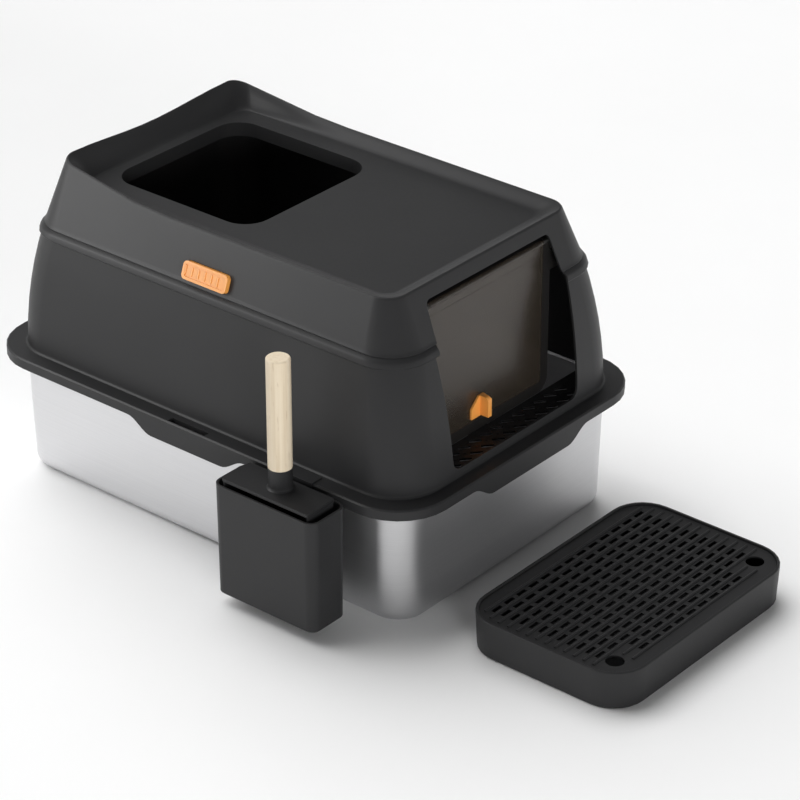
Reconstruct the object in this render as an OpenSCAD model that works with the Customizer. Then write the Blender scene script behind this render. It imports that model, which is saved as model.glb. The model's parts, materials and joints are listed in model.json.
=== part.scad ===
// Covered litter box: a steel pan, a surround and a lift-off hood with a top opening and a swing flap,
// a scoop in its hook-on holder, and a step tray that stands in front.
// +X is the front with the doorway, -Y the side with the scoop holder and +Z up.
// The origin is the middle of the pan's underside. All sizes are in millimetres.

/* [Pan] */
// Length of the pan's floor
pan_l = 556; // [480:1:640]
// Width of the pan's floor
pan_w = 358; // [310:1:420]
// Height of the pan's rim above the ground
pan_h = 150; // [126:1:176]
// Thickness of the pan's sheet
pan_t = 0.8; // [0.6:0.1:1.2]
// How far the pan's walls lean out between floor and rim
pan_flare = 3.6; // [1:0.2:6]
// Corner radius of the pan's walls
pan_r = 36; // [28:1:46]
// Radius between the pan's floor and its walls
pan_edge_r = 13; // [8:1:16]
// Width of the pan's flat rim
pan_rim = 8; // [6:0.5:11]
// Depth of the hem on the pan's rim
pan_hem = 4; // [3:0.5:6]

/* [Surround] */
// Wall thickness of the surround
surround_t = 2.5; // [2:0.1:3.2]
// Thickness of the surround's flange, which sits on the pan's rim
flange_t = 2.5; // [2:0.1:3.5]
// Room between the pan's rim and the skirt around it
rim_gap = 12.6; // [9:0.2:15]
// Thickness of the skirt around the pan's rim
skirt_t = 2.6; // [2:0.1:3.5]
// Height of the skirt below the flange's top
skirt_h = 11.8; // [9:0.2:16]
// How far the four grip tabs hang below the skirt
tab_drop = 15.2; // [8:0.2:20]
// Length of the level edge of the tabs on the long sides
side_tab_l = 100; // [60:1:160]
// Length of the level edge of the tabs at the front and rear
end_tab_l = 126; // [60:1:160]
// Length of the curve at each end of a tab
tab_curve_l = 34; // [20:1:50]
// Length of the blocks on the tabs that reach in to the pan's rim
clip_l = 20; // [10:1:24]
// Room between those blocks and the pan's rim
rim_play = 0.4; // [0.2:0.1:1]
// Length of the slot in the flange above each side tab
rim_slot_l = 52; // [30:1:80]
// Width of that slot
rim_slot_w = 7.4; // [4:0.2:8]
// Step from the pan's wall out to the foot of the surround's wall
wall_out = 3.1; // [2.8:0.1:4]
// Height from the flange to the crease above the bead
lower_h = 148.5; // [120:0.5:180]
// How far the lower wall leans in at the front and rear
lower_lean_x = 24.2; // [14:0.2:32]
// How far the lower wall leans in at the sides
lower_lean_y = 17.4; // [10:0.2:26]
// Share of that lean which comes from the wall's barrel curve
barrel = 0.8; // [0.3:0.05:0.9]
// Corner radius at the foot of the wall
base_r = 52; // [44:1:58]

/* [Hood] */
// Wall thickness of the hood
hood_t = 2.5; // [2:0.1:3]
// Height from the crease to the roof's rim
upper_h = 56; // [46:0.5:70]
// How far the upper wall leans in at the front
upper_lean_x = 23.8; // [16:0.2:30]
// How far the upper wall leans in at the rear
upper_lean_rear = 20.6; // [14:0.2:28]
// How far the upper wall leans in at the sides
upper_lean_y = 20.3; // [14:0.2:26]
// Corner radius at the crease
crease_r = 44; // [36:1:50]
// Corner radius at the roof's rim
rim_r = 24; // [16:1:28]
// Height of the bead that laps over the surround
bead_h = 10.5; // [9:0.5:14]
// How far the bead stands out from the wall below it
bead_out = 3.6; // [3.2:0.1:5]
// Room between the bead and the surround's wall
lap_gap = 0.5; // [0.3:0.1:0.8]
// Depth of the dished roof below its rim
dish = 8.7; // [5:0.1:12]
// Width of the dish's rising edge at the front and sides
dish_w = 24; // [18:1:32]
// Width of the dish's rising edge at the rear
dish_rear_w = 31; // [22:1:34]
// Distance behind the middle where the rim starts to rise
rise_from = 80; // [40:1:120]
// Radius of the curve where the rim starts to rise
rise_r = 400; // [300:5:600]
// Length of that curve
rise_curve_l = 54; // [30:1:70]
// How far the rear rim dips below the side rims at its middle
rear_dip = 5.5; // [0:0.5:8]
// How far the rear rim's corners stand above the side rims
rear_ear = 2; // [0:0.5:4]
// Length of the roof opening
hole_l = 201; // [140:1:210]
// Width of the roof opening
hole_w = 203; // [140:1:220]
// Corner radius of the roof opening
hole_r = 30; // [16:1:45]
// Distance from the middle of the box back to the middle of the roof opening
hole_back = 98; // [80:1:100]
// Depth of the collar under the roof opening
collar_h = 14; // [8:1:20]

/* [Doorway and flap] */
// Distance from the side of the roof's rim in to the doorway's edge at its top
door_side_top = 46.5; // [45:0.5:60]
// Widening of the doorway's half width from its top to the bead
door_bead_step = 5; // [2:0.5:7]
// Distance from the wall's side in to the doorway's edge just below the bead
door_side_mid = 58.5; // [56:0.5:70]
// Distance from the wall's side in to the doorway's edge at its sill
door_side_low = 81; // [78:0.5:92]
// Height of the sill above the flange
sill_h = 8; // [7:0.5:14]
// Distance from the roof's rim down to the doorway's top
door_top_drop = 14; // [12:0.5:22]
// Radius of the doorway's upper corners
door_top_r = 7; // [3:0.5:12]
// Radius of the doorway's lower corners
door_low_r = 12; // [6:0.5:20]
// Distance from the doorway's top down to the flap's hinge line
hinge_drop = 9.7; // [8:0.1:14]
// Distance from the hood's front wall in to the hinge line
hinge_in = 4; // [3.9:0.1:7]
// Thickness of the flap
flap_t = 2; // [1.5:0.1:3]
// Radius of the rolled edge at the flap's top
flap_roll_r = 3; // [2.6:0.1:3.1]
// How far the flap's panel reaches past the doorway's top width on each side
flap_over = 6; // [4:0.5:9]
// Room between the flap's lower edge and the entry grid
flap_foot_gap = 1.2; // [0.8:0.1:6]
// How far the flap's rolled edge reaches past the doorway's edge
roll_out = 12.5; // [11:0.5:13]
// How far the flap's ears reach past the doorway's edge
ear_out = 19; // [14:0.5:20]
// Distance from the hinge line down to the ears' lower edge
ear_h = 36; // [28:0.5:40]
// Radius of the flap's lower corners
flap_r = 16; // [14:1:30]
// Width of the flap's thinner border
flap_border = 12.5; // [8:0.5:13.5]
// Radius of the hinge pins
pin_r = 1.5; // [1.2:0.1:2]
// Running room between a pin or post and its hole
run_gap = 0.06; // [0.03:0.01:0.1]
// Width of a hinge block along its pin
block_w = 8; // [6:0.5:9]

/* [Flap lock] */
// Width of the lock's plate
lock_w = 34; // [28:1:48]
// Distance from the flap's middle to the lock, towards the holder's side
lock_side = 9; // [0:0.5:20]
// Height of the lock's plate at its ends
lock_h = 12; // [9:0.5:18]
// Height of the lock's sloping shoulder
lock_shoulder = 12; // [5:0.5:15]
// Thickness of the lock's plate
lock_t = 2.6; // [2:0.1:3.5]
// How far the lock's thumb fin stands out
fin_out = 11; // [7:0.5:13]
// Thickness of the thumb fin
fin_t = 6; // [4:0.5:8]
// Travel of the lock
lock_travel = 9; // [7:0.5:12]
// Width of the lock's tongue
tongue_w = 14; // [8:0.5:20]

/* [Entry grid] */
// Thickness of the entry grid
grid_t = 2; // [1.6:0.1:3]
// Depth of the entry grid, from its front edge to the rear one
entry_d = 41; // [34:0.5:44]
// Room between the entry grid and the wall around it
entry_gap = 1; // [0.6:0.1:2]
// Length of a slot in the entry grid
entry_slot_l = 14; // [8:0.5:15]
// Width of a slot in the entry grid
entry_slot_w = 4.8; // [2:0.2:5.4]
// Spacing of the slots
entry_pitch = 18.4; // [16:0.1:24]

/* [Push buttons] */
// Length of a button
button_l = 62; // [40:1:70]
// Height of a button
button_h = 20; // [14:0.5:20.5]
// How far a button stands out of the hood
button_out = 5; // [4.2:0.1:8]
// Travel of a button
button_travel = 4; // [2:0.5:4]
// Corner radius of a button
button_r = 5; // [3:0.5:8]
// Depth of the hollow in a button's face
button_hollow = 1; // [0.5:0.1:1.8]
// Radius of a button's guide post
post_r = 3; // [2:0.1:4]
// Wire coil's radius around the post
spring_r = 5.2; // [4.6:0.1:6]
// Distance from the crease up to the middle of a button
button_up = 14.5; // [13.5:0.5:18]

/* [Scoop and holder] */
// Width of the holder
holder_l = 138; // [120:1:152]
// Depth of the holder from its front to its back
holder_d = 55; // [48:0.5:62]
// Height of the holder
holder_h = 132; // [110:0.5:135]
// Wall thickness of the holder
holder_t = 2.5; // [2:0.1:3]
// Taper of the holder's sides towards its floor
holder_taper = 1.2; // [0:0.2:3]
// Corner radius of the holder
holder_r = 12; // [9:0.5:14]
// Height of the holder above the floor
holder_low = 13.7; // [8:0.1:16]
// Distance from the middle of the box forward to the middle of the holder
holder_x = 158.5; // [100:0.5:170]
// Room between the holder's back and the skirt
holder_gap = 0.4; // [0.2:0.1:1]
// Width of the holder's hook
hook_w = 42; // [20:1:50]
// Thickness of the holder's hook
hook_t = 1.6; // [1.2:0.1:2]
// Distance from the holder's middle back to its hook
hook_back = 0; // [-20:1:20]
// Room around the hook in its slot
hook_gap = 0.4; // [0.3:0.1:0.5]
// Room between the scoop and each end of the holder
scoop_end_room = 11; // [9.5:0.5:18]
// Room between the scoop and the front and back of the holder
scoop_side_room = 5.8; // [5.4:0.1:9]
// Distance from the holder's middle towards the box's rear to the scoop's middle
scoop_back = 0; // [0:0.5:3]
// Distance from the holder's middle out to the scoop's middle
scoop_out = 1.6; // [0:0.1:2]
// Distance from the scoop's middle in to its handle
handle_in = 4.3; // [0:0.1:5]
// Height of the scoop's top above the holder's edge
scoop_up = 7.4; // [3:0.1:9]
// Thickness of the scoop's walls
scoop_t = 2.5; // [2:0.1:3]
// Height of the collar that holds the handle
ferrule_h = 24; // [18:1:30]
// Radius of the wooden handle
handle_r = 12.9; // [10:0.1:14.5]
// Visible length of the wooden handle
handle_l = 126.6; // [90:0.2:160]

/* [Step tray] */
// Size of the tray along the box
tray_l = 206.8; // [196:0.2:240]
// Size of the tray across the box
tray_w = 305.6; // [290:0.2:340]
// Height of the tray
tray_h = 44.6; // [34:0.1:60]
// Corner radius of the tray
tray_r = 41; // [24:1:46]
// Lean of the tray's walls towards its floor
tray_taper = 2; // [0:0.2:3]
// Wall thickness of the tray
tray_t = 3.4; // [3:0.1:5]
// Distance from the pan's front wall out to the tray
tray_out = 62.4; // [60:0.1:140]
// Distance of the tray's middle towards the holder's side
tray_side = 11.5; // [-30:0.5:30]
// Depth of the tray's grid below its rim
tray_sink = 2.2; // [1.8:0.1:3.5]
// Room around the tray's grid
tray_gap = 0.6; // [0.3:0.1:1]
// Spacing of the round ribs on the tray's grid
rib_pitch = 12; // [10:0.1:12.4]
// Radius of a rib
rib_r = 1.7; // [1.2:0.1:1.8]
// Distance from the end of a rib to the grid's edge
rib_end = 6; // [4:0.5:12]
// Length of a slot between two ribs
slot_l = 14; // [8:0.1:15]
// Width of a slot between two ribs
slot_w = 4.4; // [3:0.1:5.5]
// Spacing of the slots along a rib
slot_pitch = 20.4; // [18:0.1:20.8]
// Radius of the finger holes
finger_r = 10; // [8:0.5:11]

/* [Hidden] */
$fn = 48;

black = [0.16, 0.16, 0.17];
steel = [0.78, 0.78, 0.79];
orange = [0.93, 0.45, 0.10];
smoke = [0.42, 0.38, 0.35, 0.6];
wood = [0.90, 0.82, 0.68];

// Steps in each rounded corner, and steps along each side of the roof's rim
arc_n = 7;
rim_side_n = 9;
// A small overlap that joins the pieces of one moulding
join = 0.6;
cut = 1;

// Heights
flange_z = pan_h + flange_t;
skirt_z = flange_z - skirt_h;
crease_z = flange_z + lower_h;
bead_z = crease_z - bead_h;
lap_z = crease_z - 3.5;
rim_z = crease_z + upper_h;
roof_z = rim_z - dish;
sill_z = flange_z + sill_h;
door_top_z = rim_z - door_top_drop;

// Plan sizes, as half lengths and half widths
wall_hx = pan_l / 2 + pan_flare;
wall_hy = pan_w / 2 + pan_flare;
wall_r = pan_r + pan_flare;
rim_hx = wall_hx + pan_rim;
rim_hy = wall_hy + pan_rim;
skirt_hx = rim_hx + rim_gap + skirt_t;
skirt_hy = rim_hy + rim_gap + skirt_t;
skirt_r = wall_r + pan_rim + rim_gap + skirt_t;
base_hx = wall_hx + wall_out;
base_hy = wall_hy + wall_out;
rim_slot_y = skirt_hy - skirt_t - rim_slot_w;
crease_hx = base_hx - lower_lean_x;
crease_hy = base_hy - lower_lean_y;

// Leaning walls: the barrel-curved lower one and the straight upper one
function lower_t(z) = (z - flange_z) / lower_h;
function lower_in(z) = (1 - barrel) * lower_t(z) + barrel * pow(lower_t(z), 2);
function lower_hx(z) = base_hx - lower_lean_x * lower_in(z);
function lower_hy(z) = base_hy - lower_lean_y * lower_in(z);
function lower_r(z) = base_r + (crease_r - base_r) * lower_t(z);
function upper_t(z) = (z - crease_z) / upper_h;
function upper_hx(z) = crease_hx - upper_lean_x * upper_t(z);
function upper_rear(z) = crease_hx - upper_lean_rear * upper_t(z);
function upper_hy(z) = crease_hy - upper_lean_y * upper_t(z);
function upper_r(z) = crease_r + (rim_r - crease_r) * upper_t(z);

// Ledge in the surround and the entry grid on it
ledge_z = pan_h + 0.2;
ledge_t = 2;
entry_z = ledge_z + ledge_t;
entry_front = base_hx - surround_t - entry_gap;
entry_rear = entry_front - entry_d;

// Doorway's half widths
door_hw_top = upper_hy(rim_z) - door_side_top;
door_hw_mid = lower_hy(lap_z) - door_side_mid;
door_hw_low = lower_hy(sill_z) - door_side_low;

// Flap's hinge line, just inside the hood's front wall
hinge_z = door_top_z - hinge_drop;
hinge_x = upper_hx(hinge_z) - hood_t - hinge_in;
flap_hw = door_hw_top + flap_over;
roll_hw = door_hw_top + roll_out;
ear_hw = door_hw_top + ear_out;
ear_top_z = hinge_z - 13;
flap_low_z = entry_z + grid_t + flap_foot_gap;
block_y = roll_hw + 1;
pin_l = 2 * block_w - 3;
pin_y = block_y + block_w - 2 - pin_l;

// Lock on the flap: a plate in front, a neck through the flap and a back plate with the tongue
lock_low_z = flap_low_z + 17.6;
lock_x = hinge_x + flap_t / 2 + 0.3;
tongue_low_z = entry_z + grid_t + 6.8;
neck_w = 8;
neck_h = 6;
neck_z = lock_low_z + lock_h / 2;
back_t = 2;
back_x = hinge_x - flap_t / 2 - 0.3 - back_t;
screw_r = 1.25;
keeper_l = 30;
keeper_rear = back_x - 4;

// Push buttons on the leaning side walls
tilt = atan(upper_lean_y / upper_h);
button_z = crease_z + button_up;
button_gap = 0.5;

// Rounded rectangle as a ring of points around [cx, cy]
function corner(hx, hy, r, q, a) = [
    [1, -1, -1, 1][q] * (hx - r) + r * cos(90 * q + a),
    [1, 1, -1, -1][q] * (hy - r) + r * sin(90 * q + a)
];
function side_points(hx, hy, r, q, n) =
    let (from = corner(hx, hy, r, q, 90), to = corner(hx, hy, r, (q + 1) % 4, 0))
    n < 2 ? [] : [for (i = [1:n - 1]) from + (to - from) * i / n];
function ring(hx, hy, r, cx = 0, cy = 0, side_n = 1) = [
    for (q = [0:3])
        each [
            for (p = concat(
                [for (i = [0:arc_n]) corner(hx, hy, r, q, 90 * i / arc_n)],
                side_points(hx, hy, r, q, side_n)
            )) p + [cx, cy]
        ]
];
function at_z(points, z) = [for (p = points) [p.x, p.y, z]];

// Solid through a list of rings, closed at both ends by fans of triangles or joined end to end
function total(list, i = 0) = i < len(list) ? list[i] + total(list, i + 1) : [0, 0, 0];
function middle(points) = total(points) / len(points);

module loft(rings, joined = false) {
    n = len(rings[0]);
    m = len(rings);
    sides = [
        for (k = [0:(joined ? m - 1 : m - 2)])
            for (i = [0:n - 1])
                let (j = (i + 1) % n, up = (k + 1) % m)
                each [[k * n + i, up * n + i, up * n + j], [k * n + i, up * n + j, k * n + j]]
    ];
    top = (m - 1) * n;
    caps = joined ? [] : [
        for (i = [0:n - 1])
            let (j = (i + 1) % n)
            each [[m * n, i, j], [m * n + 1, top + j, top + i]]
    ];
    ends = joined ? [] : [middle(rings[0]), middle(rings[m - 1])];
    polyhedron(concat([for (r = rings) each r], ends), concat(sides, caps));
}

// Upright plate drawn in Y and Z, and one drawn in X and Z
module yz_plate(x, t) {
    translate([x, 0, 0]) rotate([90, 0, 90]) linear_extrude(t) children();
}
module xz_plate(y, t) {
    translate([0, y + t, 0]) rotate([90, 0, 0]) linear_extrude(t) children();
}

// Steel pan with a hemmed flat rim

function pan_ring(out, z) = at_z(
    ring(pan_l / 2 + out, pan_w / 2 + out, pan_r + out), z);
function pan_lean(z) = pan_flare * (z - pan_edge_r) / (pan_h - pan_edge_r);

module steel_pan() {
    inner_r = pan_edge_r - pan_t;
    bend = 2;
    edge_steps = [0, 18, 36, 54, 72, 90];
    color(steel) loft(concat(
        [for (a = edge_steps) pan_ring(pan_edge_r * (sin(a) - 1), pan_edge_r * (1 - cos(a)))],
        [
            pan_ring(pan_lean(pan_h - pan_t - bend), pan_h - pan_t - bend),
            pan_ring(pan_flare + bend, pan_h - pan_t),
            pan_ring(pan_flare + pan_rim - pan_t, pan_h - pan_t),
            pan_ring(pan_flare + pan_rim - pan_t, pan_h - pan_hem),
            pan_ring(pan_flare + pan_rim, pan_h - pan_hem),
            pan_ring(pan_flare + pan_rim, pan_h),
            pan_ring(pan_flare + bend, pan_h),
            pan_ring(pan_lean(pan_h - bend) - pan_t, pan_h - bend)
        ],
        [
            for (i = [len(edge_steps) - 1:-1:0])
                let (a = edge_steps[i])
                pan_ring(inner_r * sin(a) - pan_edge_r, pan_edge_r - inner_r * cos(a))
        ]
    ));
}

// Surround: flange and skirt over the pan's rim, and the lower wall with the open-topped doorway

function skirt_ring(in, z) = at_z(ring(skirt_hx - in, skirt_hy - in, skirt_r - in), z);
function lower_ring(in, z) = at_z(ring(lower_hx(z) - in, lower_hy(z) - in, lower_r(z) - in), z);

module tab_outline(level_l) {
    steps = 8;
    half = level_l / 2;
    curve = [
        for (i = [0:steps])
            let (t = i / steps)
            [half + tab_curve_l * t, skirt_z - tab_drop * (0.5 + 0.5 * cos(180 * t))]
    ];
    top = skirt_z + skirt_h / 2;
    end = half + tab_curve_l;
    polygon(concat(
        [[-end, top]],
        [for (i = [steps:-1:0]) [-curve[i].x, curve[i].y]],
        curve,
        [[end, top]]
    ));
}

module grip_tabs() {
    inset = 0.05;
    t = skirt_t - 2 * inset;
    for (s = [0, 1]) {
        mirror([0, s, 0]) xz_plate(-skirt_hy + inset, t) tab_outline(side_tab_l);
        mirror([s, 0, 0]) yz_plate(skirt_hx - skirt_t + inset, t) tab_outline(end_tab_l);
    }
}

// Blocks on the tabs that reach in to the pan's rim and keep the surround in place
module rim_clips() {
    reach = rim_gap - rim_play;
    clip_h = pan_h - pan_hem + 1.5 - skirt_z;
    clip_at = rim_slot_l / 2 + 3;
    for (s = [0, 1]) {
        for (e = [0, 1]) {
            mirror([0, s, 0]) mirror([e, 0, 0]) translate([clip_at, rim_hy + rim_play, skirt_z])
                cube([clip_l, reach + join, clip_h]);
            mirror([s, 0, 0]) mirror([0, e, 0]) translate([rim_hx + rim_play, clip_at, skirt_z])
                cube([reach + join, clip_l, clip_h]);
        }
    }
}

module lower_door() {
    steps = 6;
    lean = (door_hw_mid - door_hw_low) / (lap_z - sill_z);
    low_hw = door_hw_low + lean * door_low_r;
    arc = [
        for (i = [0:steps])
            let (a = 90 * i / steps)
            [low_hw - door_low_r * (1 - sin(a)), sill_z + door_low_r * (1 - cos(a))]
    ];
    top_z = lap_z + cut;
    top_hw = door_hw_mid + lean * cut;
    yz_plate(base_hx - 50, 60) polygon(concat(
        arc, [[top_hw, top_z], [-top_hw, top_z]], [for (i = [steps:-1:0]) [-arc[i].x, arc[i].y]]));
}

// Front part of the wall's plan, moved in by the given amount
module front_plan(in, rear) {
    intersection() {
        polygon(ring(base_hx - in, base_hy - in, base_r - in));
        translate([rear, -base_hy]) square([base_hx - rear, 2 * base_hy]);
    }
}

// Ledge that carries the entry grid
module grid_ledge() {
    ledge_w = 5;
    translate([0, 0, ledge_z]) linear_extrude(ledge_t) difference() {
        front_plan(surround_t - join, entry_rear);
        front_plan(surround_t + ledge_w, entry_rear - cut);
    }
}

// Rib under the flange, along the inner edge of each side slot
module slot_ribs() {
    rib_t = 1.6;
    rib_h = 14;
    rib_l = rim_slot_l + 4;
    for (s = [0, 1]) {
        mirror([0, s, 0]) translate([-rib_l / 2, rim_slot_y - rib_t, pan_h - rib_h])
            cube([rib_l, rib_t, rib_h + join]);
    }
}

// Slot for the holder's hook
hook_x = holder_x - hook_back;
hook_in = rim_hy + hook_gap + 0.2;
hook_slot_y = hook_in + hook_t / 2;

module flange_slots() {
    for (s = [0, 1]) {
        mirror([0, s, 0]) translate([-rim_slot_l / 2, rim_slot_y, pan_h - cut])
            cube([rim_slot_l, rim_slot_w, flange_t + 2 * cut]);
    }
    translate([hook_x, -hook_slot_y, flange_z])
        cube([hook_w + 2 * hook_gap, hook_t + 2 * hook_gap, 2 * flange_t + 2 * cut], center = true);
}

module lower_surround() {
    edge = 1.6;
    foot = 4;
    heights = [for (i = [0:6]) flange_z + foot + (lap_z - flange_z - foot) * i / 6];
    rings = concat(
        [
            skirt_ring(0, skirt_z),
            skirt_ring(0, flange_z - edge),
            skirt_ring(edge, flange_z)
        ],
        [for (a = [0, 30, 60]) lower_ring(-foot * (1 - sin(a)), flange_z + foot * (1 - cos(a)))],
        [for (z = heights) lower_ring(0, z)],
        [for (i = [6:-1:0]) lower_ring(surround_t, heights[i])],
        [
            lower_ring(surround_t, pan_h),
            skirt_ring(skirt_t, pan_h),
            skirt_ring(skirt_t, skirt_z)
        ]
    );
    color(black) difference() {
        union() {
            loft(rings, joined = true);
            grip_tabs();
            rim_clips();
            slot_ribs();
            grid_ledge();
        }
        lower_door();
        flange_slots();
    }
}

// Entry grid: a slotted strip inside the doorway, with a keeper for the flap's lock

entry_n = floor((base_hy - base_r) / entry_pitch);
// The pattern's middle lies a little towards the holder's side
entry_side = 3.5;
function entry_place(row, i) = [entry_front - entry_d * row, i * entry_pitch - entry_side];

module entry_slots() {
    slant = 38;
    for (row = [0.27, 0.68]) {
        for (i = [-entry_n:entry_n - 1]) {
            translate(entry_place(row, i + 0.5))
                rotate(-slant) square([entry_slot_w, entry_slot_l], center = true);
        }
    }
}

// Small studs between the slots that give a paw some grip
module entry_studs() {
    stud_h = 0.7;
    for (row = [0.15, 0.48, 0.77]) {
        for (i = [-entry_n:entry_n]) {
            translate(concat(entry_place(row, i), entry_z + grid_t - join))
                cylinder(r = 1.6, h = stud_h + join, $fn = 16);
        }
    }
}

module entry_grid() {
    color(black) union() {
        translate([0, 0, entry_z]) linear_extrude(grid_t) difference() {
            union() {
                front_plan(surround_t + entry_gap, entry_rear);
                translate([keeper_rear, -lock_side - keeper_l / 2])
                    square([entry_rear - keeper_rear + join, keeper_l]);
            }
            entry_slots();
            translate([back_x - 0.6, -lock_side - tongue_w / 2 - 0.6])
                square([back_t + 1.2, tongue_w + 1.2]);
        }
        entry_studs();
    }
}

// Hood: dished roof with a rising rear rim, a collared opening, leaning walls and the lapping bead

function rim_rise(x) =
    let (d = -x - rise_from)
    d <= 0 ? 0
    : d < rise_curve_l ? d * d / (2 * rise_r)
    : rise_curve_l / rise_r * (d - rise_curve_l / 2);
function upper_mid(z) = (upper_hx(z) - upper_rear(z)) / 2;
function upper_half(z) = (upper_hx(z) + upper_rear(z)) / 2;
function upper_plan(in, z) =
    ring(upper_half(z) - in, upper_hy(z) - in, upper_r(z) - in, upper_mid(z), side_n = rim_side_n);
function upper_ring(in, z) = at_z(upper_plan(in, z), z);
function upper_point(z, in, i) = let (p = upper_plan(in, z)[i]) [p.x, p.y, z];

// Rear rim: a wave with its low point in the middle, which runs out around the corners
rim_base = upper_plan(0, rim_z);
rear_flat = upper_hy(rim_z) - rim_r;
rear_x = -upper_rear(rim_z);
function rear_wave(p) =
    p.x < rear_x + 0.01 ? rear_ear - (rear_dip + rear_ear) * (1 + cos(180 * p.y / rear_flat)) / 2
    : p.x < rear_x + rim_r ? rear_ear * pow((rear_x + rim_r - p.x) / rim_r, 2)
    : 0;
rim_heights = [for (p = rim_base) rim_z + rim_rise(p.x) + rear_wave(p)];
function bead_ring(out, z) = [
    for (p = ring(lower_hx(z) + out, lower_hy(z) + out, lower_r(z) + out, side_n = rim_side_n)) [p.x, p.y, z]
];
// Top edge of the wall, lowered and moved in by the given amounts
function rim_ring(down, in) = [for (i = [0:len(rim_base) - 1]) upper_point(rim_heights[i] - down, in, i)];
dish_hx = upper_half(rim_z) - (dish_w + dish_rear_w) / 2;
dish_hy = upper_hy(rim_z) - dish_w;
dish_cx = upper_mid(rim_z) + (dish_rear_w - dish_w) / 2;
dish_ring = ring(dish_hx, dish_hy, rim_r - 8, dish_cx, side_n = rim_side_n);
// Rising edge of the dish: 0 at the rim, 1 at the flat of the roof
function dish_edge(f, down) = [
    for (i = [0:len(rim_base) - 1])
        let (rim = upper_point(rim_heights[i], 0, i), flat = dish_ring[i])
        [
            rim.x + (flat.x - rim.x) * f,
            rim.y + (flat.y - rim.y) * f,
            roof_z - down + (rim.z - roof_z) * (1 + cos(180 * f)) / 2
        ]
];
function inner_top() = [
    for (i = [0:len(rim_base) - 1])
        upper_point(rim_heights[i] - 5 - 0.25 * (rim_heights[i] - rim_z), hood_t, i)
];

module upper_door() {
    steps = 5;
    bead_hw = door_hw_top + door_bead_step;
    turn_z = crease_z + 1.5;
    arc = [
        for (i = [0:steps])
            let (a = 90 * i / steps)
            [door_hw_top - door_top_r * (1 - cos(a)), door_top_z - door_top_r * (1 - sin(a))]
    ];
    turn_hw = door_hw_top + door_bead_step / 2;
    right = concat([[bead_hw, bead_z - cut], [bead_hw, crease_z - 1], [turn_hw, turn_z]], arc);
    count = len(right);
    yz_plate(upper_hx(rim_z) - 30, 80)
        polygon(concat(right, [for (i = [count - 1:-1:0]) [-right[i].x, right[i].y]]));
}

module hole_outline(grow) {
    polygon(ring(hole_l / 2 + grow, hole_w / 2 + grow, hole_r + grow, -hole_back));
}

module upper_hood() {
    bead_low = 1.2;
    rings = concat(
        [for (f = [1, 0.65, 0.35]) dish_edge(f, hood_t * (1 + 0.4 * (1 - f)))],
        [inner_top(), upper_ring(hood_t, lap_z)],
        [bead_ring(lap_gap, lap_z), bead_ring(lap_gap, bead_z)],
        [
            bead_ring(bead_out - 1, bead_z),
            bead_ring(bead_out, bead_z + bead_low),
            bead_ring(bead_out, crease_z - 4.5),
            bead_ring(bead_out * 0.75, crease_z - 2.6),
            bead_ring(bead_out * 0.3, crease_z - 1),
            upper_ring(0.2, crease_z),
            upper_ring(-0.9, crease_z + 1.2),
            upper_ring(-0.7, crease_z + 2.4),
            upper_ring(0, crease_z + 5),
            rim_ring(2, 0),
            rim_ring(0.6, 0.6),
            rim_ring(0, 2)
        ],
        [for (f = [0.15, 0.3, 0.45, 0.6, 0.75, 0.88, 1]) dish_edge(f, 0)]
    );
    color(black) difference() {
        union() {
            loft(rings);
            translate([0, 0, roof_z - hood_t - collar_h]) linear_extrude(collar_h + hood_t / 2) difference() {
                hole_outline(hood_t);
                hole_outline(-join);
            }
        }
        translate([0, 0, roof_z - hood_t - collar_h - cut])
            linear_extrude(collar_h + hood_t + dish + cut) hole_outline(0);
        upper_door();
        for (side = ["near", "far"]) {
            on_side(side) translate([0, 0, -3 * hood_t]) linear_extrude(6 * hood_t)
                polygon(ring(button_l / 2 + button_gap, button_h / 2 + button_gap, button_r + button_gap));
        }
    }
}

// Hinge blocks and pins of the flap

module hinge_block() {
    low_z = hinge_z - 9;
    high_z = hinge_z + 8;
    boss_r = 3.3;
    color(black) difference() {
        union() {
            xz_plate(block_y, block_w) polygon([
                [hinge_x, hinge_z - boss_r],
                [upper_hx(low_z) - hood_t, low_z],
                [upper_hx(high_z) - hood_t, high_z],
                [hinge_x, hinge_z + boss_r]
            ]);
            translate([hinge_x, block_y, hinge_z]) rotate([-90, 0, 0]) cylinder(r = boss_r, h = block_w);
        }
        translate([hinge_x, block_y - cut, hinge_z])
            rotate([-90, 0, 0]) cylinder(r = pin_r + run_gap, h = block_w + 2 * cut);
    }
}
module hinge_block_left() { mirror([0, 1, 0]) hinge_block(); }
module hinge_block_right() { hinge_block(); }

module hinge_pin() {
    color(steel) translate([hinge_x, pin_y, hinge_z]) rotate([-90, 0, 0]) cylinder(r = pin_r, h = pin_l);
}
module hinge_pin_left() { mirror([0, 1, 0]) hinge_pin(); }
module hinge_pin_right() { hinge_pin(); }

// Flap: rolled top edge with ears, a panel with a thinner border and a slot for the lock's neck

module flap_outline(in) {
    hw = flap_hw - in;
    r = flap_r - in;
    low = flap_low_z + in;
    steps = 6;
    arc = [for (i = [0:steps]) let (a = 90 * i / steps) [hw - r * (1 - sin(a)), low + r * (1 - cos(a))]];
    top = hinge_z - in;
    polygon(concat(arc, [[hw, top], [-hw, top]], [for (i = [steps:-1:0]) [-arc[i].x, arc[i].y]]));
}

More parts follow.
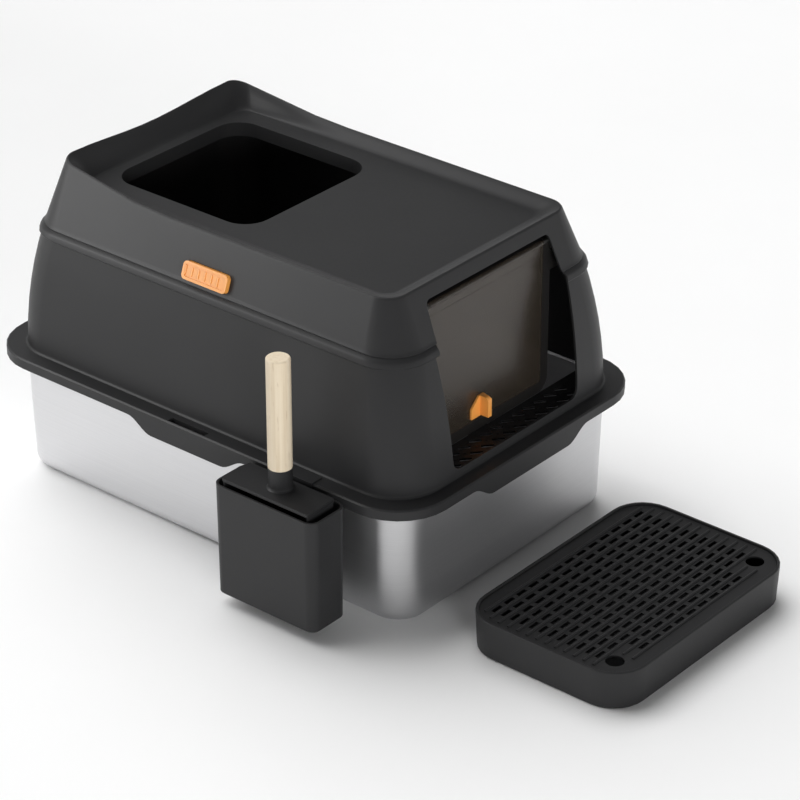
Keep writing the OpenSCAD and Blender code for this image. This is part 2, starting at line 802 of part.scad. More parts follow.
module front_flap() {
    border_t = flap_t * 0.7;
    color(smoke) difference() {
        union() {
            yz_plate(hinge_x - border_t / 2, border_t) flap_outline(0);
            yz_plate(hinge_x - flap_t / 2, flap_t) flap_outline(flap_border);
            translate([hinge_x - border_t / 2, -ear_hw, hinge_z - ear_h])
                cube([border_t, 2 * ear_hw, ear_top_z - hinge_z + ear_h]);
            translate([hinge_x, -roll_hw, hinge_z])
                rotate([-90, 0, 0]) cylinder(r = flap_roll_r, h = 2 * roll_hw);
        }
        for (s = [0, 1]) {
            mirror([0, s, 0]) translate([hinge_x, pin_y, hinge_z])
                rotate([-90, 0, 0]) cylinder(r = pin_r, h = pin_l + cut);
        }
        translate([hinge_x - flap_t, -lock_side - neck_w / 2 - 0.3, neck_z - lock_travel - 0.3])
            cube([2 * flap_t, neck_w + 0.6, neck_h + lock_travel + 0.6]);
    }
}

// Lock: a sliding plate with a thumb fin, screwed through the flap to a back plate with the tongue

module lock_outline() {
    half = lock_w / 2;
    crown = fin_t / 2 + 1.5;
    polygon([
        [-half, lock_low_z],
        [half, lock_low_z],
        [half, lock_low_z + lock_h],
        [crown, lock_low_z + lock_h + lock_shoulder],
        [-crown, lock_low_z + lock_h + lock_shoulder],
        [-half, lock_low_z + lock_h]
    ]);
}

module flap_lock() {
    fin_x = lock_x + lock_t;
    fin_top = lock_low_z + lock_h + lock_shoulder;
    fin_r = 6;
    fin_end = fin_x + fin_out - fin_r;
    color(orange) translate([0, -lock_side, 0]) difference() {
        union() {
            yz_plate(lock_x, lock_t) lock_outline();
            xz_plate(-fin_t / 2, fin_t) polygon(concat(
                [[fin_x - join, fin_top], [fin_x - join, lock_low_z + 1], [fin_x + fin_out, lock_low_z + 1]],
                [for (a = [0:15:90]) [fin_end + fin_r * cos(a), fin_top - fin_r * (1 - sin(a))]]
            ));
            translate([back_x + back_t, -neck_w / 2, neck_z])
                cube([lock_x - back_x - back_t + join, neck_w, neck_h]);
        }
        translate([back_x, 0, neck_z + neck_h / 2]) rotate([0, 90, 0]) cylinder(r = screw_r, h = 9);
    }
}

module lock_back() {
    margin = 5;
    plate_z = neck_z - margin;
    color(black) translate([0, -lock_side, 0]) difference() {
        union() {
            translate([back_x, -neck_w / 2 - margin, plate_z])
                cube([back_t, neck_w + 2 * margin, neck_h + 2 * margin]);
            translate([back_x, -tongue_w / 2, tongue_low_z])
                cube([back_t, tongue_w, plate_z - tongue_low_z + join]);
        }
        translate([back_x - cut, 0, neck_z + neck_h / 2])
            rotate([0, 90, 0]) cylinder(r = screw_r + 0.2, h = back_t + 2 * cut);
    }
}

module lock_screw() {
    head_h = 1.6;
    color(steel) translate([back_x - head_h, -lock_side, neck_z + neck_h / 2]) rotate([0, 90, 0]) union() {
        cylinder(r = 2.4, h = head_h);
        cylinder(r = screw_r, h = head_h + back_t + 6);
    }
}

// Push buttons: the frame of a button has Z along the wall's outward normal and Y up the wall

wall_n = hood_t * cos(tilt);
lip_t = 2.4;
lip_out = 3;
lip_top = -wall_n - 0.1;
lip_back = lip_top - lip_t;
guide_t = 2;
spring_len = 10;
guide_top = lip_back - spring_len;

module on_side(side) {
    mirror([0, side == "far" ? 1 : 0, 0])
        translate([0, -upper_hy(button_z), button_z]) rotate([90 - tilt, 0, 0]) children();
}

module push_button(side) {
    face_in = 3;
    ridge_n = 3;
    ridge_pitch = 9;
    ridge_l = button_h - 2 * face_in - 4;
    arm_w = 16;
    arm_t = 2.5;
    arm_low = lap_z - 8;
    arm_top = button_z - 10;
    arm_y = min(lower_hy(lap_z) - surround_t, upper_hy(arm_top) - hood_t) - 0.4 - arm_t;
    color(orange) union() {
        on_side(side) union() {
            difference() {
                translate([0, 0, lip_back]) linear_extrude(button_out - lip_back)
                    polygon(ring(button_l / 2, button_h / 2, button_r));
                translate([0, 0, button_out - button_hollow]) linear_extrude(button_hollow + cut)
                    polygon(ring(button_l / 2 - face_in, button_h / 2 - face_in, button_r - face_in / 2));
            }
            for (i = [-ridge_n:ridge_n]) {
                translate([i * ridge_pitch - 0.9, -ridge_l / 2, button_out - button_hollow - join])
                    cube([1.8, ridge_l, button_hollow + join - 0.3]);
            }
            translate([0, 0, lip_back]) linear_extrude(lip_t)
                polygon(ring(button_l / 2 + lip_out, button_h / 2 + lip_out, button_r));
            translate([0, 0, guide_top - guide_t - 5])
                cylinder(r = post_r, h = 5 + guide_t + spring_len + join);
        }
        mirror([0, side == "far" ? 1 : 0, 0])
            translate([-arm_w / 2, -arm_y - arm_t, arm_low]) cube([arm_w, arm_t, arm_top - arm_low]);
    }
}
module push_button_near() { push_button("near"); }
module push_button_far() { push_button("far"); }

// Bridge behind a button that guides its post and backs its spring
module button_guide(side) {
    half = button_l / 2 + lip_out + 1;
    leg_t = 2.5;
    bridge_h = 14;
    color(black) on_side(side) difference() {
        union() {
            translate([-half - leg_t, -bridge_h / 2, guide_top - guide_t])
                cube([2 * (half + leg_t), bridge_h, guide_t]);
            for (s = [0, 1]) {
                mirror([s, 0, 0]) translate([half, -bridge_h / 2, guide_top - guide_t])
                    cube([leg_t, bridge_h, guide_t - guide_top - wall_n]);
                mirror([s, 0, 0]) translate([half, -bridge_h / 2, -wall_n - leg_t])
                    cube([8, bridge_h, leg_t]);
            }
        }
        translate([0, 0, guide_top - guide_t - cut]) cylinder(r = post_r + run_gap, h = guide_t + 2 * cut);
    }
}
module button_guide_near() { button_guide("near"); }
module button_guide_far() { button_guide("far"); }

// Room that the wire coil takes between a button and its guide
module button_spring(side) {
    wire = 1;
    end_gap = 0.05;
    color(steel) on_side(side) translate([0, 0, guide_top + end_gap]) difference() {
        cylinder(r = spring_r, h = spring_len - 2 * end_gap);
        translate([0, 0, -cut]) cylinder(r = spring_r - wire, h = spring_len + 2 * cut);
    }
}
module button_spring_near() { button_spring("near"); }
module button_spring_far() { button_spring("far"); }

// Scoop holder: a tapered open box that hangs on the flange by its hook

holder_back = skirt_hy + holder_gap;
holder_cy = -holder_back - holder_d / 2;
holder_top = holder_low + holder_h;

function holder_ring(in, z) = at_z(
    ring(holder_l / 2 - in, holder_d / 2 - in, holder_r - in, holder_x, holder_cy), z);

module scoop_holder() {
    over_z = flange_z + 0.1;
    leg_low = pan_h - 5;
    strap_low = holder_top - 14;
    hook_start = hook_x - hook_w / 2;
    color(black) union() {
        loft([
            holder_ring(holder_taper + 2, holder_low),
            holder_ring(holder_taper, holder_low + 2),
            holder_ring(0, holder_top),
            holder_ring(holder_t, holder_top),
            holder_ring(holder_taper + holder_t, holder_low + holder_t)
        ]);
        translate([hook_start, -holder_back - hook_t, strap_low])
            cube([hook_w, hook_t, over_z + hook_t - strap_low]);
        translate([hook_start, -holder_back - hook_t, over_z])
            cube([hook_w, holder_back - hook_in + hook_t, hook_t]);
        translate([hook_start, -hook_in - hook_t, leg_low])
            cube([hook_w, hook_t, over_z + hook_t - leg_low]);
    }
}

// Scoop: a slotted pan hanging in the holder, with a collar for the wooden handle

scoop_top = holder_top + scoop_up;
scoop_x = holder_x - scoop_back;
scoop_w = holder_l - 2 * scoop_end_room;
scoop_d = holder_d - 2 * scoop_side_room;
cap_t = 3.5;
cap_low = scoop_top - cap_t;
// The scoop's pan reaches down to the holder's floor
scoop_low = holder_low + holder_t;
scoop_l = cap_low - scoop_low;
scoop_cy = holder_cy - scoop_out;
handle_y = scoop_cy + handle_in;
scoop_front = scoop_cy - scoop_d / 2;
scoop_rear = scoop_cy + scoop_d / 2;
ferrule_r = handle_r - 0.2;
handle_low = scoop_top + ferrule_h;
tenon_r = handle_r - 4;
tenon_l = ferrule_h - 4;
stud_r = 2.5;

module scoop() {
    half = scoop_w / 2;
    low = scoop_low;
    plate_r = 2;
    inset = 0.05;
    slot_n = 3;
    slot_step = 15;
    slot_wide = 8;
    slot_long = scoop_l - 36;
    cheek = [
        [scoop_rear - plate_r, cap_low + join],
        [scoop_front + plate_r, cap_low + join],
        [scoop_front + plate_r, cap_low - scoop_l * 0.4],
        [scoop_rear - scoop_t, low],
        [scoop_rear - plate_r, low]
    ];
    color(black) difference() {
        union() {
            translate([0, 0, cap_low]) linear_extrude(cap_t)
                polygon(ring(half, scoop_d / 2, plate_r, scoop_x, scoop_cy));
            translate([scoop_x - half + plate_r, scoop_rear - scoop_t, low])
                cube([scoop_w - 2 * plate_r, scoop_t, scoop_l + join]);
            for (s = [-1, 1]) {
                yz_plate(scoop_x + s * (half - scoop_t / 2 - inset) - scoop_t / 2, scoop_t) polygon(cheek);
            }
            translate([scoop_x, handle_y, scoop_top - join])
                rotate_extrude() polygon([
                    [0, 0],
                    [ferrule_r + 2, 0],
                    [ferrule_r + 2, join],
                    [ferrule_r + 0.6, join + 1.2],
                    [ferrule_r, join + 3.5],
                    [ferrule_r, join + ferrule_h],
                    [0, join + ferrule_h]
                ]);
        }
        for (i = [-slot_n:slot_n]) {
            translate([scoop_x + i * slot_step - slot_wide / 2, scoop_rear - scoop_t - cut, low + 14])
                cube([slot_wide, scoop_t + 2 * cut, slot_long]);
        }
        translate([scoop_x, handle_y, handle_low - tenon_l - 0.3])
            cylinder(r = tenon_r + 0.05, h = tenon_l + cut);
        translate([scoop_x, handle_y, cap_low - cut]) cylinder(r = stud_r + 0.2, h = ferrule_h + cap_t);
    }
}

module scoop_handle() {
    top = handle_low + handle_l;
    round_r = 2.5;
    steps = 4;
    edge = [
        for (i = [0:steps])
            let (a = 90 * i / steps)
            [handle_r - round_r * (1 - cos(a)), top - round_r * (1 - sin(a))]
    ];
    color(wood) translate([scoop_x, handle_y, 0]) difference() {
        rotate_extrude() polygon(concat(
            [
                [0, handle_low - tenon_l],
                [tenon_r, handle_low - tenon_l],
                [tenon_r, handle_low],
                [handle_r, handle_low]
            ],
            edge,
            [[0, top]]
        ));
        translate([0, 0, handle_low - tenon_l - cut]) cylinder(r = stud_r, h = tenon_l + 20 + cut);
    }
}

// Screw that holds the handle, driven from inside the scoop
module handle_screw() {
    head_h = 2.5;
    shank_l = cap_t + ferrule_h + 14;
    color(steel) translate([scoop_x, handle_y, cap_low - head_h]) union() {
        cylinder(r = 4.6, h = head_h);
        cylinder(r = stud_r, h = head_h + shank_l);
    }
}

// Step tray and its lift-out grid

tray_x = wall_hx - pan_flare + tray_out + tray_l / 2;
tray_floor = 2.5;
plate_t = 2;
grid_in = tray_t + tray_gap;
grid_low = tray_h - tray_sink - plate_t;
row_n = floor((tray_l / 2 - tray_t - 12) / rib_pitch + 0.5);
slot_n = floor((tray_w / 2 - tray_t - 19) / slot_pitch);
finger_x = tray_l / 2 - 31;
finger_y = tray_w / 2 - 30;

function tray_ring(in, z) = at_z(ring(tray_l / 2 - in, tray_w / 2 - in, tray_r - in), z);

module tray_outline(in) {
    polygon(ring(tray_l / 2 - in, tray_w / 2 - in, tray_r - in));
}

module step_tray() {
    ledge_w = 4;
    foot_r = 3;
    edge = 1.5;
    color(black) translate([tray_x, -tray_side, 0]) union() {
        difference() {
            loft(concat(
                [
                    for (a = [0, 30, 60, 90])
                        tray_ring(tray_taper + foot_r * (1 - sin(a)), foot_r * (1 - cos(a)))
                ],
                [for (a = [0, 30, 60, 90]) tray_ring(edge * (1 - cos(a)), tray_h - edge * (1 - sin(a)))]
            ));
            loft([tray_ring(tray_taper + tray_t, tray_floor), tray_ring(tray_t, tray_h + cut)]);
        }
        translate([0, 0, grid_low - 3]) linear_extrude(3) difference() {
            tray_outline(tray_t - join);
            tray_outline(tray_t + ledge_w);
        }
    }
}

// Slots run in rows between the ribs; rows and ribs beside the finger holes stop short of them
function row_x(i) = (i + 0.5) * rib_pitch;
function slots_in(i) =
    row_x(i) > finger_x - finger_r - slot_w ? floor((finger_y - finger_r - slot_l) / slot_pitch) : slot_n;
function grid_half(x) =
    let (r = tray_r - grid_in, side = max(abs(x) + rib_r - tray_l / 2 + tray_r, 0))
    tray_w / 2 - tray_r + sqrt(r * r - side * side);
function rib_half(x) =
    abs(x - finger_x) < finger_r + rib_r + 0.5 ? finger_y - finger_r - 4 : grid_half(x) - rib_end;

module step_grid() {
    color(black) translate([tray_x, -tray_side, grid_low]) difference() {
        union() {
            linear_extrude(plate_t) difference() {
                tray_outline(grid_in);
                for (i = [-row_n:row_n - 1]) {
                    for (k = [-slots_in(i):slots_in(i)]) {
                        translate([row_x(i), k * slot_pitch]) square([slot_w, slot_l], center = true);
                    }
                }
            }
            for (i = [-row_n:row_n]) {
                translate([i * rib_pitch, 0, plate_t]) rotate([90, 0, 0])
                    cylinder(r = rib_r, h = 2 * rib_half(i * rib_pitch), center = true, $fn = 24);
            }
        }
        for (s = [-1, 1]) {
            translate([finger_x, s * finger_y, -cut]) cylinder(r = finger_r, h = plate_t + rib_r + 2 * cut);
        }
    }
}

steel_pan();
lower_surround();
entry_grid();
upper_hood();
hinge_block_left();
hinge_block_right();
front_flap();
hinge_pin_left();
hinge_pin_right();
flap_lock();
lock_back();
lock_screw();
push_button_near();
push_button_far();
button_guide_near();
button_guide_far();
button_spring_near();
button_spring_far();
scoop_holder();
scoop();
scoop_handle();
handle_screw();
step_tray();
step_grid();
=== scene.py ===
"""Looks of a covered litter box with a steel pan, a swing flap, a scoop in its holder and a step tray.

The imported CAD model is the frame. Every visible piece is a rounded-edge mesh made from its node, or a
mesh built here where the node is only a stand-in, with a procedural material. Lengths are in metres.
"""

import json
import math

import bmesh
import bpy
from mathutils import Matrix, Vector


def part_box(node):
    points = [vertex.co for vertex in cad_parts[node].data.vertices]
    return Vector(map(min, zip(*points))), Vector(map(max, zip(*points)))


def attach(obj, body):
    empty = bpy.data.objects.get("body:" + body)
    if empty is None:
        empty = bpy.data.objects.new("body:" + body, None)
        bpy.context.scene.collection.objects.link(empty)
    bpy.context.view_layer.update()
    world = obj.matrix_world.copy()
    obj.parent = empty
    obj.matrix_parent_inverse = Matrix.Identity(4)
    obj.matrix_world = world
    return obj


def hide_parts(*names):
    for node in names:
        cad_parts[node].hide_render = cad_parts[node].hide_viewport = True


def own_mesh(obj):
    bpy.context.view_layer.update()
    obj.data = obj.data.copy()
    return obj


# Camera, fitted to the photograph's level edges
CAMERA_PLACE = Vector((2.1269, -2.4004, 1.8741))
CAMERA_AIM = Vector((-0.5604, 0.6719, -0.4842))
CAMERA_LENS_MM = 149.33
SENSOR_MM = 36.0

# Mesh cleaning: points closer than this join, and faces flatter than this merge
WELD = 2e-6
FLAT_ANGLE = math.radians(0.5)

# Edge rounding: where an edge counts as sharp, and the bevel's steps and widths
SHARP_ANGLE = math.radians(25.0)
EDGE_STEPS = 2
SHELL_EDGE = 0.0009
SMALL_EDGE = 0.0005
SHEET_EDGE = 0.0002

# Flap: half width of its clear panel, and the width of the border under it
PANEL_HALF = 0.095
PANEL_BORDER = 0.0125
PANEL_BLUR = 0.0006

# Wire springs of the buttons
COIL_TURNS = 6
COIL_WIRE_R = 0.00045
STEPS_A_TURN = 24
WIRE_SIDES = 8

# Backdrop: sines of the heights between which it fades from white to its ceiling
FADE_START = 0.1
FADE_END = 0.4

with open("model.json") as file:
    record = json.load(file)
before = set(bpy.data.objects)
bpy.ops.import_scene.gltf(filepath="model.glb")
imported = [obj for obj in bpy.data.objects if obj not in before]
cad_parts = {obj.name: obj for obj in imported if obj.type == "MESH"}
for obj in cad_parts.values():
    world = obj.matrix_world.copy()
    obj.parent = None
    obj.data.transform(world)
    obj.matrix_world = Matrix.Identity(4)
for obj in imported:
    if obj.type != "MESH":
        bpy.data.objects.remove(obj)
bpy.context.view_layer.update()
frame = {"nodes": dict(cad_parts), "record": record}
body_of = {
    node: body for body, nodes in frame["record"]["behaviour"]["bodies"].items() for node in nodes
}
slot_of = {s["node"]: s["material_slot"] for s in frame["record"]["subparts"]}
joint_of = {j["name"]: j for j in frame["record"]["behaviour"]["joints"]}


# Materials


class Nodes:
    """A material's node tree, with short calls for the nodes that the finishes share."""

    def __init__(self, name):
        self.material = bpy.data.materials.new(name)
        self.material.use_nodes = True
        self.tree = self.material.node_tree
        self.tree.nodes.clear()
        self.out = self.add("ShaderNodeOutputMaterial")
        self.shader = self.add("ShaderNodeBsdfPrincipled")
        self.link(self.shader.outputs["BSDF"], self.out.inputs["Surface"])

    def add(self, kind, **values):
        node = self.tree.nodes.new(kind)
        for key, value in values.items():
            setattr(node, key, value)
        return node

    def link(self, source, target):
        self.tree.links.new(source, target)

    def place(self, scale):
        """Coordinates of the row frame, stretched by the given scale."""
        coords = self.add("ShaderNodeTexCoord")
        mapping = self.add("ShaderNodeMapping")
        mapping.inputs["Scale"].default_value = scale
        self.link(coords.outputs["Object"], mapping.inputs["Vector"])
        return mapping.outputs["Vector"]

    def noise(self, scale, detail=4.0, stretch=(1, 1, 1), roughness=0.55):
        node = self.add("ShaderNodeTexNoise")
        node.inputs["Scale"].default_value = scale
        node.inputs["Detail"].default_value = detail
        node.inputs["Roughness"].default_value = roughness
        self.link(self.place(stretch), node.inputs["Vector"])
        return node.outputs["Fac"]

    def ramp(self, source, stops):
        node = self.add("ShaderNodeValToRGB")
        elements = node.color_ramp.elements
        while len(elements) < len(stops):
            elements.new(0.5)
        for element, (where, colour) in zip(elements, stops):
            element.position = where
            element.color = (*colour, 1.0)
        self.link(source, node.inputs["Fac"])
        return node.outputs["Color"]

    def span(self, source, low, high, start=0.25, end=0.75):
        node = self.add("ShaderNodeMapRange")
        node.inputs["From Min"].default_value = start
        node.inputs["From Max"].default_value = end
        node.inputs["To Min"].default_value = low
        node.inputs["To Max"].default_value = high
        self.link(source, node.inputs["Value"])
        return node.outputs["Result"]

    def math(self, operation, *values):
        node = self.add("ShaderNodeMath", operation=operation)
        for socket, value in zip(node.inputs, values):
            if isinstance(value, float):
                socket.default_value = value
            else:
                self.link(value, socket)
        return node.outputs["Value"]

    def mix(self, factor, first, second):
        node = self.add("ShaderNodeMix", data_type="RGBA")
        self.link(factor, node.inputs["Factor"])
        self.link(first, node.inputs["A"])
        if isinstance(second, tuple):
            node.inputs["B"].default_value = (*second, 1.0)
        else:
            self.link(second, node.inputs["B"])
        return node.outputs["Result"]

    def border(self, half_width, low, soft):
        """0 on a panel that lies in Y and Z, 1 on the border at its sides and under it."""
        coords = self.add("ShaderNodeTexCoord")
        split = self.add("ShaderNodeSeparateXYZ")
        self.link(coords.outputs["Object"], split.inputs["Vector"])
        beyond = self.math("SUBTRACT", self.math("ABSOLUTE", split.outputs["Y"]), half_width)
        beyond = self.math("MAXIMUM", beyond, self.math("SUBTRACT", low, split.outputs["Z"]))
        return self.span(beyond, 0.0, 1.0, -soft, soft)

    def bump(self, height, strength, distance):
        node = self.add("ShaderNodeBump")
        node.inputs["Strength"].default_value = strength
        node.inputs["Distance"].default_value = distance
        self.link(height, node.inputs["Height"])
        self.link(node.outputs["Normal"], self.shader.inputs["Normal"])

    def set(self, **values):
        for key, value in values.items():
            self.shader.inputs[key.replace("_", " ")].default_value = value


def moulded_plastic(name, dark, light, rough_low, rough_high, grain, gloss):
    """Matte moulding: faint cloudiness in its colour and gloss, and a fine spark-eroded grain."""
    m = Nodes(name)
    cloud = m.noise(9.0, detail=3.0)
    m.link(m.ramp(cloud, [(0.3, dark), (0.7, light)]), m.shader.inputs["Base Color"])
    m.link(m.span(m.noise(300.0), rough_low, rough_high), m.shader.inputs["Roughness"])
    m.bump(m.noise(2200.0, detail=2.0), grain, 0.0001)
    m.set(IOR=1.5, Specular_IOR_Level=gloss)
    return m.material


def brushed_steel(name, dark, light, rough_low, rough_high):
    """Drawn sheet with fine level brush lines and soft, broad differences in its gloss."""
    m = Nodes(name)
    lines = m.noise(1.0, detail=5.0, stretch=(9, 9, 2600), roughness=0.7)
    clouds = m.noise(7.0, detail=2.0)
    m.link(m.ramp(lines, [(0.3, dark), (0.7, light)]), m.shader.inputs["Base Color"])
    m.link(m.span(clouds, rough_low, rough_high), m.shader.inputs["Roughness"])
    m.bump(lines, 0.02, 0.0001)
    m.set(Metallic=1.0)
    return m.material


def smoked_sheet(name):
    """Tinted see-through plastic: a brown panel with a greyer border at its sides and under it."""
    m = Nodes(name)
    rim = m.border(PANEL_HALF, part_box("front_flap")[0][2] + PANEL_BORDER, PANEL_BLUR)
    tint = m.ramp(m.noise(6.0, detail=2.0), [(0.3, (0.185, 0.148, 0.112)), (0.7, (0.205, 0.166, 0.128))])
    m.link(m.mix(rim, tint, (0.10, 0.096, 0.092)), m.shader.inputs["Base Color"])
    m.link(m.span(rim, 0.27, 0.36, 0.0, 1.0), m.shader.inputs["Roughness"])
    m.set(IOR=1.42, Transmission_Weight=0.88)
    return m.material


def turned_wood(name):
    """Pale close-grained wood: long streaks and a few short darker flecks along the handle."""
    m = Nodes(name)
    streaks = m.noise(1.0, detail=6.0, stretch=(260, 260, 9), roughness=0.6)
    colour = m.ramp(
        streaks,
        [(0.25, (0.66, 0.54, 0.38)), (0.5, (0.74, 0.63, 0.47)), (0.75, (0.79, 0.69, 0.54))],
    )
    flecks = m.noise(1.0, detail=1.0, stretch=(520, 520, 60), roughness=0.4)
    mask = m.span(flecks, 0.0, 0.45, 0.68, 0.76)
    m.link(m.mix(mask, colour, (0.46, 0.33, 0.20)), m.shader.inputs["Base Color"])
    m.link(m.span(streaks, 0.5, 0.65), m.shader.inputs["Roughness"])
    m.bump(streaks, 0.12, 0.0002)
    return m.material


finishes = {
    "black_plastic": moulded_plastic(
        "black_plastic_look",
        dark=(0.0195, 0.0195, 0.0203),
        light=(0.0225, 0.0225, 0.0233),
        rough_low=0.45,
        rough_high=0.49,
        grain=0.25,
        gloss=0.30,
    ),
    "orange_plastic": moulded_plastic(
        "orange_plastic_look",
        dark=(0.88, 0.36, 0.075),
        light=(0.93, 0.40, 0.090),
        rough_low=0.30,
        rough_high=0.36,
        grain=0.08,
        gloss=0.5,
    ),
    "pan_steel": brushed_steel(
        "pan_steel_look",
        dark=(0.64, 0.64, 0.65),
        light=(0.70, 0.70, 0.71),
        rough_low=0.40,
        rough_high=0.46,
    ),
    "bright_steel": brushed_steel(
        "bright_steel_look",
        dark=(0.52, 0.52, 0.53),
        light=(0.60, 0.60, 0.61),
        rough_low=0.25,
        rough_high=0.32,
    ),
    "smoke_plastic": smoked_sheet("smoke_plastic_look"),
    "beech": turned_wood("beech_look"),
}


# Pieces


def new_piece(name, mesh, node):
    """Puts a finished mesh in the place of a CAD node."""
    piece = bpy.data.objects.new(name, mesh)
    bpy.context.scene.collection.objects.link(piece)
    mesh.materials.clear()
    mesh.materials.append(finishes[slot_of[node]])
    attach(piece, body_of[node])
    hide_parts(node)
    return piece


def rounded(node, edge):
    """The node's own shape with clean faces and rounded edges."""
    mesh = frame["nodes"][node].data.copy()
    work = bmesh.new()
    work.from_mesh(mesh)
    bmesh.ops.remove_doubles(work, verts=work.verts, dist=WELD)
    bmesh.ops.dissolve_limit(work, angle_limit=FLAT_ANGLE, verts=work.verts, edges=work.edges)
    for face in work.faces:
        face.smooth = True
    work.to_mesh(mesh)
    work.free()
    piece = new_piece(node + "_look", mesh, node)
    bevel = piece.modifiers.new("edges", "BEVEL")
    bevel.width = edge
    bevel.segments = EDGE_STEPS
    bevel.limit_method = "ANGLE"
    bevel.angle_limit = SHARP_ANGLE
    bevel.harden_normals = False
    normals = piece.modifiers.new("normals", "WEIGHTED_NORMAL")
    normals.mode = "FACE_AREA"
    normals.keep_sharp = False


def coil(node, joint_name):
    """Wire spring in the room of its sleeve; it moves with its node's body and keeps its length."""
    joint = joint_of[joint_name]
    way = Vector(joint["axis"])
    side = way.orthogonal().normalized()
    other = way.cross(side)
    low, high = (Vector(corner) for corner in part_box(node))
    centre = (low + high) / 2
    offsets = [v.co - centre for v in frame["nodes"][node].data.vertices]
    length = 2 * max(o.dot(way) for o in offsets)
    radius = max((o - way * o.dot(way)).length for o in offsets) - COIL_WIRE_R
    steps = STEPS_A_TURN * COIL_TURNS
    work = bmesh.new()
    rings = []
    for i in range(steps + 1):
        turn = 2 * math.pi * COIL_TURNS * i / steps
        out = side * math.cos(turn) + other * math.sin(turn)
        along = (length - 2 * COIL_WIRE_R) * (i / steps - 0.5)
        place = centre + out * radius + way * along
        rings.append(
            [
                work.verts.new(place + (out * math.cos(a) + way * math.sin(a)) * COIL_WIRE_R)
                for a in (2 * math.pi * k / WIRE_SIDES for k in range(WIRE_SIDES))
            ]
        )
    for ring, after in zip(rings, rings[1:]):
        for k in range(WIRE_SIDES):
            j = (k + 1) % WIRE_SIDES
            work.faces.new((ring[k], ring[j], after[j], after[k])).smooth = True
    work.faces.new(rings[0])
    work.faces.new(rings[-1])
    bmesh.ops.recalc_face_normals(work, faces=work.faces)
    mesh = bpy.data.meshes.new(node + "_look")
    work.to_mesh(mesh)
    work.free()
    piece = new_piece(node + "_look", mesh, node)
    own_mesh(piece)


for shell in ("lower_surround", "upper_hood", "scoop_holder", "step_tray"):
    rounded(shell, SHELL_EDGE)
for small in (
    "entry_grid", "hinge_block_left", "hinge_block_right", "flap_lock", "lock_back", "lock_screw",
    "push_button_near", "push_button_far", "button_guide_near", "button_guide_far", "scoop",
    "scoop_handle", "handle_screw", "step_grid", "hinge_pin_left", "hinge_pin_right", "front_flap",
):
    rounded(small, SMALL_EDGE)
rounded("steel_pan", SHEET_EDGE)
for near_or_far in ("near", "far"):
    coil("button_spring_" + near_or_far, f"button_{near_or_far}_press")


# Stage, light and camera


def floor_finish():
    m = Nodes("floor_look")
    m.link(
        m.ramp(m.noise(2.0), [(0.3, (0.93, 0.93, 0.93)), (0.7, (0.95, 0.95, 0.95))]),
        m.shader.inputs["Base Color"],
    )
    m.set(Roughness=0.8)
    return m.material


def stage_floor(size):
    mesh = bpy.data.meshes.new("floor")
    half = size / 2
    mesh.from_pydata(
        [(-half, -half, 0), (half, -half, 0), (half, half, 0), (-half, half, 0)], [], [(0, 1, 2, 3)]
    )
    mesh.materials.append(floor_finish())
    floor = bpy.data.objects.new("floor", mesh)
    bpy.context.scene.collection.objects.link(floor)


def aimed(name, light, place, aim):
    lamp = bpy.data.objects.new(name, light)
    lamp.location = place
    lamp.rotation_euler = (Vector(aim) - Vector(place)).to_track_quat("-Z", "Y").to_euler()
    bpy.context.scene.collection.objects.link(lamp)
    return lamp


def broad_light(name, place, spread, strength):
    """Even light from one side; it shapes the shadows and is not mirrored in the pieces."""
    light = bpy.data.lights.new(name, "SUN")
    light.angle = math.radians(spread)
    light.energy = strength
    aimed(name, light, place, (0, 0, 0)).visible_glossy = False


def bright_card(name, place, aim, size, power):
    """A flat card that shows as a sheen on the pieces and throws no light on the floor."""
    light = bpy.data.lights.new(name, "AREA")
    light.shape = "RECTANGLE"
    light.size, light.size_y = size
    light.energy = power
    aimed(name, light, place, aim).visible_diffuse = False


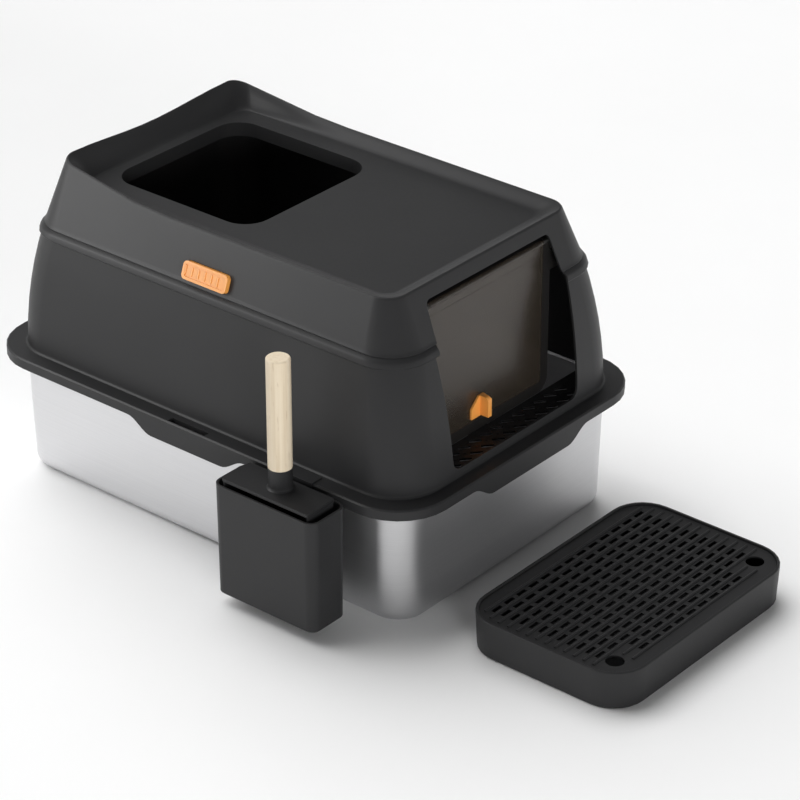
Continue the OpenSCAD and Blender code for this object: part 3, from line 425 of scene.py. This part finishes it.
def white_world(ambient, ceiling):
    """White backdrop that greys towards the ceiling, and a weaker even light from all sides.

    The backdrop is what the camera, mirror reflections and see-through pieces show.
    """
    world = bpy.data.worlds.new("studio")
    bpy.context.scene.world = world
    world.use_nodes = True
    tree = world.node_tree
    tree.nodes.clear()
    add, link = tree.nodes.new, tree.links.new
    coords = add("ShaderNodeTexCoord")
    split = add("ShaderNodeSeparateXYZ")
    fade = add("ShaderNodeMapRange")
    fade.inputs["From Min"].default_value = FADE_START
    fade.inputs["From Max"].default_value = FADE_END
    fade.inputs["To Min"].default_value = 1.0
    fade.inputs["To Max"].default_value = ceiling
    behind = add("ShaderNodeBackground")
    around = add("ShaderNodeBackground")
    for background in (behind, around):
        background.inputs["Color"].default_value = (1, 1, 1, 1)
    around.inputs["Strength"].default_value = ambient
    link(coords.outputs["Generated"], split.inputs["Vector"])
    link(split.outputs["Z"], fade.inputs["Value"])
    link(fade.outputs["Result"], behind.inputs["Strength"])
    path = add("ShaderNodeLightPath")
    seen = path.outputs["Is Camera Ray"]
    for kind in ("Is Glossy Ray", "Is Transmission Ray"):
        either = add("ShaderNodeMath")
        either.operation = "MAXIMUM"
        link(seen, either.inputs[0])
        link(path.outputs[kind], either.inputs[1])
        seen = either.outputs["Value"]
    mix = add("ShaderNodeMixShader")
    out = add("ShaderNodeOutputWorld")
    link(seen, mix.inputs["Fac"])
    link(around.outputs["Background"], mix.inputs[1])
    link(behind.outputs["Background"], mix.inputs[2])
    link(mix.outputs["Shader"], out.inputs["Surface"])


def photo_camera():
    data = bpy.data.cameras.new("camera")
    data.lens = CAMERA_LENS_MM
    data.sensor_width = SENSOR_MM
    data.clip_end = 50.0
    camera = bpy.data.objects.new("camera", data)
    camera.location = CAMERA_PLACE
    camera.rotation_euler = CAMERA_AIM.to_track_quat("-Z", "Y").to_euler()
    bpy.context.scene.collection.objects.link(camera)
    bpy.context.scene.camera = camera


stage_floor(size=14.0)
white_world(ambient=0.12, ceiling=0.12)
broad_light("overhead", place=(-0.62, 0.12, 0.78), spread=70.0, strength=3.5)
broad_light("front_fill", place=(2.2, -1.3, 0.22), spread=25.0, strength=2.2)
bright_card("left_card", place=(-1.03, -1.0, 0.78), aim=(-0.15, -0.1, 0.33), size=(0.6, 1.05), power=16)
bright_card("top_card", place=(-1.25, 0.22, 1.95), aim=(0, 0, 0.35), size=(0.5, 0.5), power=8)
photo_camera()
bpy.context.scene.view_settings.view_transform = "Standard"
